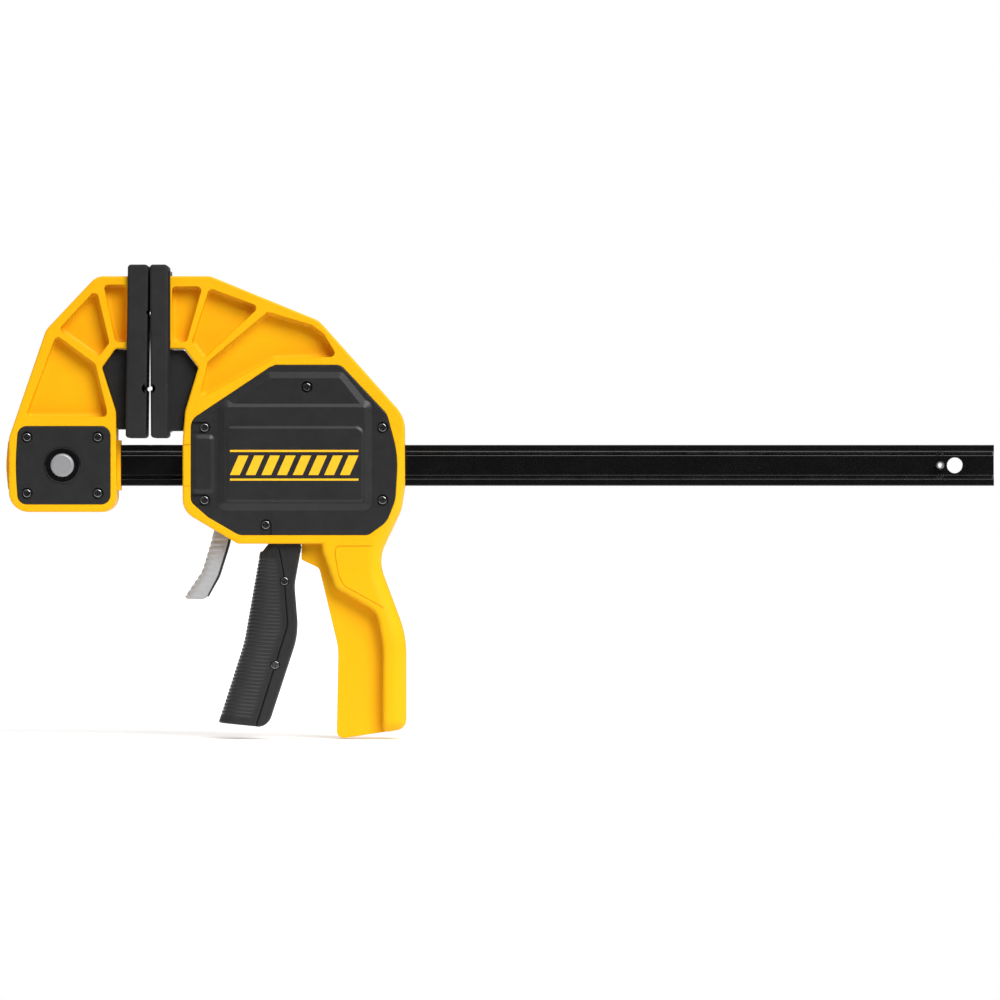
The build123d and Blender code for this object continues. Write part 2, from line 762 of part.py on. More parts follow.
with BuildPart() as housing_cover_front:
    add(housing_cover())

with BuildPart() as housing_cover_back:
    mirror(housing_cover(), about=Plane.XZ)

with BuildPart() as housing_cover_screws:
    with Locations(*[(x, -cavity_half - 1.4, z) for x, z in housing_screws]):
        add(screw(9.0))
    mirror(about=Plane.XZ)


# Plates in the cavity that guide the bar at both ends
def bar_guide(x_low, x_high):
    """Plate that fills the cavity's width between the bosses, with a sliding fit on the bar."""
    guide_half = upper_screw_z - boss_diameter / 2 - 2.0
    lower_half = -lower_screw_z - boss_diameter / 2 - 1.0
    with BuildPart() as guide:
        with BuildSketch(Plane.XZ) as face:
            add(cover_outline(cover_points, cover_radii, -cavity_wall - seat_gap, 0))
            add(box_profile(x_low, x_high, -lower_half, guide_half), mode=Mode.INTERSECT)
        extrude(face.sketch, amount=cavity_half - seat_gap, both=True)
        bore = box_profile(x_low - 5, x_high + 5, -bar_half - slide_gap, bar_half + slide_gap)
        extrude(bore, amount=flange_half + slide_gap, both=True, mode=Mode.SUBTRACT)
    return guide.part


with BuildPart() as front_bar_guide:
    add(bar_guide(26.0, 32.0))

with BuildPart() as rear_bar_guide:
    add(bar_guide(132.5, 142.0))

# Pins held in the covers' sockets
pin_half_length = cavity_half + 1.8
with BuildPart() as trigger_pivot_pin:
    extrude(disc(pivot_x, pivot_z, pivot_pin_diameter), amount=pin_half_length, both=True)
    chamfer(trigger_pivot_pin.edges().filter_by(GeomType.CIRCLE), 0.4)

with BuildPart() as brake_pivot_pin:
    extrude(disc(brake_pivot_x, brake_pivot_z, brake_pin_diameter), pin_half_length, both=True)
    chamfer(brake_pivot_pin.edges().filter_by(GeomType.CIRCLE), 0.4)

# ---------------------------------------------------------------- trigger
trigger_front = [(63.0, -50.0), (54.0, -101.5), (39.2, -147.8)]
trigger_front_radii = [2, 60, 1.5]
trigger_rear = [(86.6, -46.6), (82.6, -69.0), (84.9, -97.0), (67.2, -151.0)]
trigger_rear_radii = [0, 25, 45, 7]
seam = [(73.9, -46.6), (76.9, -62.4), (79.1, -91.5), (60.8, -149.8)]
seam_radii = [0, 20, 10, 0]
grip_wall = 3.2
spine_thickness = 4.0
channel_half = handle_web_half + 0.7
shell_inner = fork_outer - 2.5
trigger_screw_places = [(77.4, -66.5), (72.0, -114.6)]
trigger_screw_recess = 5.4


def shifted(points, distance):
    """The same points moved along X."""
    return [(x + distance, z) for x, z in points]


grip_outline = profile(
    [
        (69.8, -42.5),
        *trigger_front,
        *shifted(reversed(seam[1:]), -seat_gap),
        (73.7, -46.6),
        (73.5, -42.5),
    ],
    [0, *trigger_front_radii, 0, 10, 20, 0, 0],
)
inner_outline = profile(
    [
        (66.4 + grip_wall, -49.5),
        *shifted(trigger_front[1:2], grip_wall),
        (39.2 + grip_wall + 0.4, -146.6),
        (62.0, -148.6),
        *reversed(trigger_rear[1:3]),
        (86.1, -49.5),
    ],
    [0, 60, 1.0, 5, 45, 25, 0],
)

with BuildPart() as trigger_core:
    # Inner layer of both flanges, hollowed behind the spine
    extrude(inner_outline, amount=shell_inner, both=True)
    hollow = profile(
        [
            (66.4 + grip_wall + spine_thickness, -40.0),
            (66.4 + grip_wall + spine_thickness, -49.5),
            *shifted(trigger_front[1:2], grip_wall + spine_thickness),
            (43.5 + spine_thickness, -145.0),
            (100.0, -145.0),
            (100.0, -40.0),
        ],
        [0, 0, 60, 1, 0, 0],
    )
    extrude(hollow, amount=channel_half, both=True, mode=Mode.SUBTRACT)
    # Outer layer behind the seam and the fork arms that rise to the pivot
    outer_radii = [*seam_radii, *reversed(trigger_rear_radii)]
    outer_layer = profile([*seam, *reversed(trigger_rear)], outer_radii)
    eye_half = fork_eye_diameter / 2
    arm = profile(
        [
            (75.2, -50.0),
            (73.9, -46.6),
            (pivot_x - eye_half, pivot_z),
            (pivot_x + eye_half, pivot_z),
            (86.2, -50.0),
        ]
    )
    for side in (FRONT, BACK):
        layer = outer_layer.moved(Location((0, side * (shell_inner - 0.5), 0)))
        layer_thickness = fork_outer - shell_inner + 0.5
        extrude(layer, amount=layer_thickness, dir=(0, side, 0))
    flank = trigger_core.edges().filter_by(lambda edge: abs(abs(edge.center().Y) - fork_outer) < 0.001)
    fillet([edge for edge in flank if edge.center().X > 68.5 and edge.center().Z < -47], 1.2)
    for side in (FRONT, BACK):
        for shape in (arm, disc(pivot_x, pivot_z, fork_eye_diameter)):
            blank = shape.moved(Location((0, side * fork_inner, 0)))
            extrude(blank, amount=fork_thickness, dir=(0, side, 0))
    # Nose between the arms that pushes the drive plates
    nose_z = bar_half + 4.7
    extrude(disc(pivot_x + 0.7, nose_z, 7.0), amount=fork_inner, both=True)
    pivot_bore = disc(pivot_x, pivot_z, pivot_pin_diameter + 2 * pin_gap)
    extrude(pivot_bore, amount=half_thickness, both=True, mode=Mode.SUBTRACT)
    for x, z in trigger_screw_places:
        hole = disc(x, z, screw_shank_diameter)
        extrude(hole, amount=half_thickness, both=True, mode=Mode.SUBTRACT)
        for side in (FRONT, BACK):
            recess = disc(x, z, trigger_screw_recess, -side * (fork_outer - 1.7))
            extrude(recess, amount=5, dir=(0, side, 0), mode=Mode.SUBTRACT)


def trigger_grip():
    """Half of the ribbed grip that wraps the front of the core."""
    with BuildPart() as grip:
        extrude(grip_outline, amount=fork_outer)
        nose_edges = grip.edges().filter_by(lambda edge: abs(edge.center().Y + fork_outer) < 0.001)
        fillet([edge for edge in nose_edges if edge.center().X < 66 and edge.center().Z > -147], 3.0)
        core_space = profile(
            [
                (66.4 + grip_wall - seat_gap, -49.4),
                *shifted(trigger_front[1:2], grip_wall - seat_gap),
                (39.2 + grip_wall + 0.3, -146.7),
                (100.0, -153.2),
                (100.0, -49.4),
            ],
            [0, 60, 0.5, 0, 0],
        )
        extrude(core_space, amount=shell_inner + seat_gap, mode=Mode.SUBTRACT)
        above = box_profile(60.0, 100.0, -49.5, -40.0)
        extrude(above, amount=shell_inner + seat_gap, mode=Mode.SUBTRACT)
        for x, z in trigger_screw_places:
            hole = disc(x, z, screw_shank_diameter + 2 * pin_gap)
            extrude(hole, amount=half_thickness, mode=Mode.SUBTRACT)
            recess = disc(x, z, trigger_screw_recess, fork_outer - 1.7)
            extrude(recess, amount=5, mode=Mode.SUBTRACT)
    return grip.part


with BuildPart() as trigger_grip_front:
    add(trigger_grip())

with BuildPart() as trigger_grip_back:
    mirror(trigger_grip(), about=Plane.XZ)

with BuildPart() as trigger_screws:
    with Locations(*[(x, -fork_outer + 1.7, z) for x, z in trigger_screw_places]):
        add(screw(3.2, 1.5))
    mirror(about=Plane.XZ)

# ---------------------------------------------------------------- drive
plate_pitch = drive_plate_thickness + 0.15
first_plate_x = 84.5
plate_low = -(bar_half + 8.7)
plate_high = bar_half + 9.2
plate_half_width = fork_inner - 0.5
drive_plates = []
for number in range(drive_plate_count):
    plate_x = first_plate_x + number * plate_pitch
    with BuildPart() as drive_plate:
        blank = box_profile(plate_x, plate_x + drive_plate_thickness, plate_low, plate_high)
        extrude(blank, amount=plate_half_width, both=True)
        fillet(drive_plate.edges().filter_by(Axis.X), 2.0)
        slot_half = bar_half + 0.5
        slot = box_profile(plate_x - 1, plate_x + 1 + drive_plate_thickness, -slot_half, slot_half)
        extrude(slot, amount=flange_half + 0.3, both=True, mode=Mode.SUBTRACT)
    drive_plates.append(drive_plate)
last_plate_face = first_plate_x + (drive_plate_count - 1) * plate_pitch + drive_plate_thickness
drive_spring_length = spring_wall_x - last_plate_face

with BuildPart() as drive_spring_upper:
    add(coil_spring((last_plate_face, 0, drive_spring_z), (1, 0, 0), drive_spring_length, 7.0, 1.0, 6))

with BuildPart() as drive_spring_lower:
    add(coil_spring((last_plate_face, 0, -drive_spring_z), (1, 0, 0), drive_spring_length, 7.0, 1.0, 6))

# ---------------------------------------------------------------- brake and release lever
lever_line = [
    (brake_pivot_x, brake_pivot_z),
    (44.8, -44.6),
    (38.9, -63.4),
    (32.4, -74.9),
]
lean = (brake_pivot_x - 44.8) / (brake_pivot_z + 44.6)
brake_eye_diameter = 8.0


def lever_strip(thickness):
    """The bent lever seen edge on."""
    with BuildSketch(Plane.XZ) as strip:
        with BuildLine() as path:
            FilletPolyline(*lever_line, radius=[18, 18])
        trace(path.line, thickness)
    return strip.sketch


with BuildPart() as brake_plate:
    extrude(lever_strip(brake_thickness), amount=brake_half_width, both=True)
    # The tail inside the grip is narrower
    tail = box_profile(10, 60, -90, -30)
    for side in (FRONT, BACK):
        trimmed = tail.moved(Location((0, side * (brake_half_width - 2), 0)))
        extrude(trimmed, amount=5, dir=(0, side, 0), mode=Mode.SUBTRACT)
    extrude(disc(*lever_line[0], brake_eye_diameter), amount=brake_half_width, both=True)
    pin_bore = disc(*lever_line[0], brake_pin_diameter + 2 * pin_gap)
    extrude(pin_bore, amount=half_thickness, both=True, mode=Mode.SUBTRACT)
    # Window that straddles the bar, long enough for the lever to swing square to it
    window = box_profile(40, 60, -bar_half - 0.45, bar_half + 0.35)
    extrude(window, amount=flange_half + 0.3, both=True, mode=Mode.SUBTRACT)

grip_front_edge = [(37.6, -34.5), (29.8, -60.5), (19.8, -75.4), (21.2, -77.0)]
grip_rear_edge = [(30.6, -76.9), (33.6, -74.4), (39.2, -63.4), (45.0, -44.6), (46.1, -34.5)]
grip_half_width = brake_half_width - 1.0
lever_grip_outline = profile([*grip_front_edge, *grip_rear_edge], [0, 15, 1, 1, 2, 2, 18, 18, 0])
with BuildPart() as brake_grip:
    extrude(lever_grip_outline, amount=grip_half_width, both=True)
    plate_space = lever_strip(brake_thickness + 2 * seat_gap)
    extrude(plate_space, amount=brake_half_width - 2 + seat_gap, both=True, mode=Mode.SUBTRACT)

brake_face_x = brake_pivot_x - lean * (brake_pivot_z - brake_spring_z) + brake_thickness / 2 + 0.6
with BuildPart() as brake_spring:
    spring_start = (brake_face_x, 0, brake_spring_z)
    add(coil_spring(spring_start, (1, 0, 0), brake_rib_x - brake_face_x, 8.0, 1.0, 5))

# ---------------------------------------------------------------- write every piece
for number, drive_plate in enumerate(drive_plates, 1):
    save(drive_plate.part, f"drive_plate_{number}")
for built, name in [
    (bar, "bar"),
    (bar_stop_pin, "bar_stop_pin"),
    (bar_end_socket, "bar_end_socket"),
    (bar_inner_socket, "bar_inner_socket"),
    (fixed_jaw, "fixed_jaw"),
    (fixed_cover_front, "fixed_cover_front"),
    (fixed_cover_back, "fixed_cover_back"),
    (fixed_cover_screws, "fixed_cover_screws"),
    (release_bezel, "release_bezel"),
    (release_button, "release_button"),
    (latch_yoke, "latch_yoke"),
    (latch_pin, "latch_pin"),
    (latch_spring, "latch_spring"),
    (fixed_pad_carrier, "fixed_pad_carrier"),
    (fixed_pad, "fixed_pad"),
    (moving_pad_carrier, "moving_pad_carrier"),
    (moving_pad, "moving_pad"),
    (housing, "housing"),
    (housing_cover_front, "housing_cover_front"),
    (housing_cover_back, "housing_cover_back"),
    (housing_cover_screws, "housing_cover_screws"),
    (front_bar_guide, "front_bar_guide"),
    (rear_bar_guide, "rear_bar_guide"),
    (trigger_pivot_pin, "trigger_pivot_pin"),
    (brake_pivot_pin, "brake_pivot_pin"),
    (trigger_core, "trigger_core"),
    (trigger_grip_front, "trigger_grip_front"),
    (trigger_grip_back, "trigger_grip_back"),
    (trigger_screws, "trigger_screws"),
    (drive_spring_upper, "drive_spring_upper"),
    (drive_spring_lower, "drive_spring_lower"),
    (brake_plate, "brake_plate"),
    (brake_grip, "brake_grip"),
    (brake_spring, "brake_spring"),
]:
    save(built.part, name)
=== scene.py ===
"""Looks of a one-handed trigger bar clamp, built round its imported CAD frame.

Shapes are worked out in millimetres, in the CAD's own axes: +X along the bar, +Z up to the jaws,
-Y the side with the release button. MM turns them into Blender's metres.
"""

import json
import math

import bmesh
import bpy
from mathutils import Matrix, Vector


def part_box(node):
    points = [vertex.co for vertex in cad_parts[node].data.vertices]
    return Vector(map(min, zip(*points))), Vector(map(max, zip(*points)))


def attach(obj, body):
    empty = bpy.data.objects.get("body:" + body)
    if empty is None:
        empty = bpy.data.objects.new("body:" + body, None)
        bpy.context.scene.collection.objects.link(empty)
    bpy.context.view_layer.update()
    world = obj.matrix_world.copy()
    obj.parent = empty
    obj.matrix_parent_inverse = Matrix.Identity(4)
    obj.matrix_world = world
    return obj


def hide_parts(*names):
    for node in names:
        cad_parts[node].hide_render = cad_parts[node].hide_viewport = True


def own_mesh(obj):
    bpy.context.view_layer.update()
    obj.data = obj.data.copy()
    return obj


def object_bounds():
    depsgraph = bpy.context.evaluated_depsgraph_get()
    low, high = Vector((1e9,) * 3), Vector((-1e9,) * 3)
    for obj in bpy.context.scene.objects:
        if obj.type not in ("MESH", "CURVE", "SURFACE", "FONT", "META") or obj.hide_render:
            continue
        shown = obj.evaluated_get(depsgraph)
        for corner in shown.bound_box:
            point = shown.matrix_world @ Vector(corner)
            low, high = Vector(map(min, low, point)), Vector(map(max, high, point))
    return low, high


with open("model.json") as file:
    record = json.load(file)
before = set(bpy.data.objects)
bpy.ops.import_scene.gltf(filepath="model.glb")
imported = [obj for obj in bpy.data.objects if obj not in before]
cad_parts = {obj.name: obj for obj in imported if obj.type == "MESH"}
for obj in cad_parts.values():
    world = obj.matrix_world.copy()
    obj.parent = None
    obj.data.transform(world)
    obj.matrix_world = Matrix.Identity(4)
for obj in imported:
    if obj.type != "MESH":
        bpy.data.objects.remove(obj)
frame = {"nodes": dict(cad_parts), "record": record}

MM = 0.001
FRONT = -1
BACK = 1
cad_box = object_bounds()


def box_mm(node):
    """Lowest and highest corner of a CAD node, in millimetres."""
    low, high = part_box(node)
    return low / MM, high / MM


# ---------------------------------------------------------------- materials
def new_material(name, base, roughness, metallic=0.0, specular=0.5):
    """Principled material with its plain values set, and its node tree."""
    material = bpy.data.materials.new(name)
    material.use_nodes = True
    shader = material.node_tree.nodes["Principled BSDF"]
    shader.inputs["Base Color"].default_value = (*base, 1.0)
    shader.inputs["Roughness"].default_value = roughness
    shader.inputs["Metallic"].default_value = metallic
    shader.inputs["Specular IOR Level"].default_value = specular
    return material, material.node_tree, shader


def add_node(tree, kind, inputs=None, **settings):
    """Node of that kind with its settings and the values of its inputs."""
    node = tree.nodes.new(kind)
    for name, value in settings.items():
        setattr(node, name, value)
    for name, value in (inputs or {}).items():
        node.inputs[name].default_value = value
    return node


def object_space(tree, stretch=(1.0, 1.0, 1.0)):
    """The piece's own coordinates in metres, stretched along its axes."""
    coordinates = add_node(tree, "ShaderNodeTexCoord")
    mapping = add_node(tree, "ShaderNodeMapping", {"Scale": stretch})
    tree.links.new(coordinates.outputs["Object"], mapping.inputs["Vector"])
    return mapping.outputs["Vector"]


def noise(tree, vector, grain, detail=4.0, distortion=0.0):
    """Noise whose features are about grain millimetres across."""
    values = {"Scale": 1.0 / (grain * MM), "Detail": detail, "Distortion": distortion}
    node = add_node(tree, "ShaderNodeTexNoise", values)
    tree.links.new(vector, node.inputs["Vector"])
    return node.outputs["Fac"]


def vary_colour(tree, shader, factor, dark, light):
    """Base colour that runs from dark to light with the factor."""
    ramp = add_node(tree, "ShaderNodeValToRGB")
    ramp.color_ramp.elements[0].position = 0.3
    ramp.color_ramp.elements[1].position = 0.7
    ramp.color_ramp.elements[0].color = (*dark, 1.0)
    ramp.color_ramp.elements[1].color = (*light, 1.0)
    tree.links.new(factor, ramp.inputs["Fac"])
    tree.links.new(ramp.outputs["Color"], shader.inputs["Base Color"])


def vary_roughness(tree, shader, factor, low, high):
    """Roughness that runs from low to high with the factor."""
    values = {"From Min": 0.3, "From Max": 0.7, "To Min": low, "To Max": high}
    spread = add_node(tree, "ShaderNodeMapRange", values)
    tree.links.new(factor, spread.inputs["Value"])
    tree.links.new(spread.outputs["Result"], shader.inputs["Roughness"])


def add_bump(tree, shader, height, depth, strength=1.0):
    """Bump of that depth in millimetres on top of any bump that is there."""
    bump = add_node(tree, "ShaderNodeBump", {"Distance": depth * MM, "Strength": strength})
    tree.links.new(height, bump.inputs["Height"])
    if shader.inputs["Normal"].is_linked:
        tree.links.new(shader.inputs["Normal"].links[0].from_socket, bump.inputs["Normal"])
    tree.links.new(bump.outputs["Normal"], shader.inputs["Normal"])


def yellow_nylon():
    """Satin glass-filled nylon, evenly dyed, with a faint moulded grain and flow marks."""
    material, tree, shader = new_material("yellow_nylon", (0.9, 0.46, 0.002), 0.45, specular=0.16)
    shader.inputs["Subsurface Weight"].default_value = 0.08
    shader.inputs["Subsurface Radius"].default_value = (0.002, 0.001, 0.0002)
    space = object_space(tree)
    flow = noise(tree, object_space(tree, (1.0, 1.0, 0.35)), 45.0, detail=3.0, distortion=0.8)
    vary_colour(tree, shader, flow, (0.88, 0.445, 0.0015), (0.92, 0.475, 0.0025))
    vary_roughness(tree, shader, noise(tree, space, 6.0), 0.41, 0.5)
    rounded = add_node(tree, "ShaderNodeBevel", {"Radius": 0.7 * MM}, samples=4)
    tree.links.new(rounded.outputs["Normal"], shader.inputs["Normal"])
    add_bump(tree, shader, noise(tree, space, 18.0, detail=2.0), 0.05)
    add_bump(tree, shader, noise(tree, space, 0.45, detail=3.0), 0.02)
    return material


def textured_plastic(name, base, roughness, grain=0.32, depth=0.04):
    """Dark plastic with a spark-eroded mould texture and slightly mottled gloss."""
    material, tree, shader = new_material(name, base, roughness, specular=0.35)
    space = object_space(tree)
    lighter = [channel * 1.25 for channel in base]
    vary_colour(tree, shader, noise(tree, space, 9.0), base, lighter)
    vary_roughness(tree, shader, noise(tree, space, 2.5), roughness - 0.03, roughness + 0.04)
    add_bump(tree, shader, noise(tree, space, 25.0, detail=2.0), 0.05)
    add_bump(tree, shader, noise(tree, space, grain, detail=5.0), depth)
    return material


def pad_rubber():
    """Soft rubber: matt, with dusty patches and a fine leathery skin."""
    material, tree, shader = new_material("pad_rubber", (0.015, 0.015, 0.016), 0.65, specular=0.25)
    space = object_space(tree)
    vary_colour(tree, shader, noise(tree, space, 14.0, detail=6.0), (0.014, 0.014, 0.015), (0.02, 0.02, 0.021))
    vary_roughness(tree, shader, noise(tree, space, 4.0), 0.6, 0.78)
    cells = add_node(tree, "ShaderNodeTexVoronoi", {"Scale": 1.0 / (0.7 * MM)})
    tree.links.new(space, cells.inputs["Vector"])
    add_bump(tree, shader, cells.outputs["Distance"], 0.02)
    add_bump(tree, shader, noise(tree, space, 0.25), 0.02)
    return material


def bar_paint():
    """Gloss black enamel on rolled steel, with the faint waviness of the rolling under it."""
    material, tree, shader = new_material("bar_paint", (0.003, 0.003, 0.0035), 0.14, specular=0.8)
    shader.inputs["Coat Weight"].default_value = 0.7
    shader.inputs["Coat Roughness"].default_value = 0.06
    space = object_space(tree)
    vary_colour(tree, shader, noise(tree, space, 30.0), (0.0025, 0.0025, 0.003), (0.004, 0.004, 0.0045))
    vary_roughness(tree, shader, noise(tree, space, 8.0, detail=6.0), 0.11, 0.18)
    add_bump(tree, shader, noise(tree, object_space(tree, (0.12, 1.0, 1.0)), 6.0), 0.01)
    add_bump(tree, shader, noise(tree, space, 0.8, detail=2.0), 0.004)
    return material


def silver_plastic(name, light, dark):
    """Silver-pigmented plastic: fine bright flakes under a soft gloss."""
    material, tree, shader = new_material(name, light, 0.38, 0.25)
    space = object_space(tree)
    flakes = add_node(tree, "ShaderNodeTexVoronoi", {"Scale": 1.0 / (0.22 * MM)})
    tree.links.new(space, flakes.inputs["Vector"])
    vary_colour(tree, shader, flakes.outputs["Distance"], light, dark)
    vary_roughness(tree, shader, noise(tree, space, 1.5), 0.33, 0.45)
    add_bump(tree, shader, noise(tree, space, 0.3), 0.012)
    return material


def worked_steel(name, base, roughness, stretch=(1.0, 1.0, 1.0)):
    """Bare steel with grinding or drawing marks along the stretched axis and light stains."""
    material, tree, shader = new_material(name, base, roughness, 1.0)
    marks = noise(tree, object_space(tree, stretch), 0.35, detail=6.0)
    stains = noise(tree, object_space(tree), 5.0, detail=5.0)
    darker = [channel * 0.8 for channel in base]
    vary_colour(tree, shader, stains, darker, base)
    vary_roughness(tree, shader, marks, roughness - 0.07, roughness + 0.1)
    add_bump(tree, shader, marks, 0.012)
    return material


def printed_yellow():
    """Pad-printed ink: flat, a little matt, with tiny pinholes of gloss."""
    material, tree, shader = new_material("printed_yellow", (0.95, 0.52, 0.004), 0.5)
    space = object_space(tree)
    vary_colour(tree, shader, noise(tree, space, 3.0), (0.92, 0.5, 0.004), (0.97, 0.54, 0.005))
    vary_roughness(tree, shader, noise(tree, space, 0.6), 0.42, 0.58)
    add_bump(tree, shader, noise(tree, space, 0.3), 0.006)
    return material


def floor_paper():
    """Pale seamless studio paper."""
    material, tree, shader = new_material("floor_paper", (0.93, 0.93, 0.93), 0.85)
    shader.inputs["Emission Color"].default_value = (1.0, 1.0, 1.0, 1.0)
    shader.inputs["Emission Strength"].default_value = 0.12
    space = object_space(tree)
    vary_colour(tree, shader, noise(tree, space, 300.0, detail=3.0), (0.925, 0.925, 0.925), (0.935, 0.935, 0.935))
    add_bump(tree, shader, noise(tree, space, 1.2), 0.02)
    return material


grip_plastic = textured_plastic("grip_plastic", (0.015, 0.015, 0.016), 0.38, grain=0.6, depth=0.015)
ring_plastic = textured_plastic("ring_plastic", (0.003, 0.003, 0.0035), 0.22, grain=0.5, depth=0.01)
button_plastic = silver_plastic("button_plastic", (0.37, 0.37, 0.38), (0.28, 0.28, 0.29))
print_ink = printed_yellow()
finishes = {
    "yellow_nylon": yellow_nylon(),
    "black_plastic": textured_plastic("black_plastic", (0.016, 0.016, 0.017), 0.38, depth=0.02),
    "pad_rubber": pad_rubber(),
    "bar_paint": bar_paint(),
    "silver_plastic": silver_plastic("silver_plastic", (0.48, 0.48, 0.49), (0.38, 0.38, 0.39)),
    "screw_steel": worked_steel("screw_steel", (0.3, 0.3, 0.31), 0.2),
    "black_steel": worked_steel("black_steel", (0.06, 0.06, 0.063), 0.42, (1.0, 0.08, 1.0)),
    "tool_steel": worked_steel("tool_steel", (0.5, 0.5, 0.51), 0.34, (0.08, 1.0, 1.0)),
    "spring_steel": worked_steel("spring_steel", (0.6, 0.6, 0.61), 0.26),
}


# ---------------------------------------------------------------- shared shapes
def rounded_path(points, radii, steps=8):
    """Polyline through the points, with an arc of that many steps at each corner that has a radius."""
    path = [Vector(points[0])]
    for before, corner, after, radius in zip(points, points[1:], points[2:], radii):
        corner = Vector(corner)
        back = (Vector(before) - corner).normalized()
        ahead = (Vector(after) - corner).normalized()
        half_angle = back.angle(ahead) / 2
        if radius == 0:
            path.append(corner)
            continue
        centre = corner + (back + ahead).normalized() * (radius / math.sin(half_angle))
        start = corner + back * (radius / math.tan(half_angle)) - centre
        end = corner + ahead * (radius / math.tan(half_angle)) - centre
        turn = start.angle_signed(end)
        for step in range(steps + 1):
            angle = -turn * step / steps
            arm = Matrix.Rotation(angle, 2) @ start
            path.append(centre + arm)
    path.append(Vector(points[-1]))
    return path


def x_at(path, z):
    """Where a path that runs downwards crosses that height."""
    if z >= path[0].y:
        return path[0].x
    for high, low in zip(path, path[1:]):
        if low.y <= z <= high.y and high.y > low.y:
            return high.x + (low.x - high.x) * (high.y - z) / (high.y - low.y)
    return path[-1].x


def finish_mesh(mesh, name, sharp_degrees=35.0):
    """Object in metres from a bmesh in millimetres, smooth except at sharp edges."""
    bmesh.ops.recalc_face_normals(mesh, faces=mesh.faces)
    bmesh.ops.scale(mesh, vec=(MM, MM, MM), verts=mesh.verts)
    data = bpy.data.meshes.new(name)
    mesh.to_mesh(data)
    mesh.free()
    data.polygons.foreach_set("use_smooth", [True] * len(data.polygons))
    data.set_sharp_from_angle(angle=math.radians(sharp_degrees))
    piece = bpy.data.objects.new(name, data)
    bpy.context.scene.collection.objects.link(piece)
    return piece


def loft(name, rings, sharp_degrees=35.0):
    """Closed solid through rings of points, all with the same count."""
    mesh = bmesh.new()
    rows = [[mesh.verts.new(point) for point in ring] for ring in rings]
    for low, high in zip(rows, rows[1:]):
        for a, b, c, d in zip(low, low[1:] + low[:1], high[1:] + high[:1], high):
            mesh.faces.new((a, b, c, d))
    mesh.faces.new(rows[0])
    mesh.faces.new(rows[-1])
    return finish_mesh(mesh, name, sharp_degrees)


def block(x_range, y_range, z_range):
    """Cutter with flat faces."""
    corners = [(x, y) for x, y in zip((x_range[0], x_range[1], x_range[1], x_range[0]), sorted(y_range * 2))]
    return loft("cutter", [[(x, y, z) for x, y in corners] for z in z_range])


def barrel(x, z, diameter, y_range, sides=48):
    """Round cutter along Y."""
    circle = [2 * math.pi * step / sides for step in range(sides)]
    rim = [(x + math.cos(a) * diameter / 2, z + math.sin(a) * diameter / 2) for a in circle]
    return loft("cutter", [[(u, y, v) for u, v in rim] for y in y_range])


def carve(piece, cutters, sharp_degrees=35.0):
    """Take the cutters out of the piece for good, and delete them."""
    for cutter in cutters:
        cut = piece.modifiers.new("cut", "BOOLEAN")
        cut.operation = "DIFFERENCE"
        cut.solver = "EXACT"
        cut.object = cutter
    graph = bpy.context.evaluated_depsgraph_get()
    carved = bpy.data.meshes.new_from_object(piece.evaluated_get(graph))
    piece.modifiers.clear()
    piece.data = carved
    carved.set_sharp_from_angle(angle=math.radians(sharp_degrees))
    for cutter in cutters:
        bpy.data.objects.remove(cutter)


def dress(piece, material, body, slot, *nodes):
    """Give a piece its finish and its body, and let it stand for its CAD nodes."""
    piece.data.materials.clear()
    piece.data.materials.append(material)
    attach(piece, body)
    if nodes:
        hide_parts(*nodes)


# ---------------------------------------------------------------- CAD pieces that stay
def dress_cad_nodes():
    """Every CAD node takes its slot's finish; some are replaced further down."""
    special = {"release_bezel": ring_plastic, "release_button": button_plastic}
    for part in frame["record"]["subparts"]:
        node = frame["nodes"][part["node"]]
        node.data.materials.clear()
        node.data.materials.append(special.get(part["node"], finishes[part["material_slot"]]))


# ---------------------------------------------------------------- trigger grip
grip_front_edge = rounded_path([(69.8, -42.5), (63.0, -50.0), (54.0, -101.5), (39.2, -147.8)], [2, 60])
grip_seam_edge = rounded_path(
    [(73.5, -42.5), (73.8, -46.6), (76.8, -62.4), (79.0, -91.5), (60.7, -149.8)], [0, 20, 10]
)
grip_core_edge = rounded_path([(69.4, -42.5), (69.4, -49.5), (57.1, -101.5), (42.7, -146.6)], [0, 60])
grip_half_width = -box_mm("trigger_grip_front")[0].y
grip_core_half = 12.1
grip_floor_z = -146.7
trigger_rib_pitch = 2.1
trigger_rib_depth = 0.5
trigger_screw_places = [(77.4, -66.5), (72.0, -114.6)]
trigger_recess_diameter = 5.4


def rib_dip(z, first, last, pitch, depth):
    """How far the surface dips at that height: nothing on a rib's crown, depth in a groove."""
    ends = min(1.0, max(0.0, (first - z) / 1.5)) * min(1.0, max(0.0, (z - last) / 1.5))
    crown = abs(math.sin(math.pi * (first - z) / pitch)) ** 0.55
    return depth * (1.0 - crown) * ends


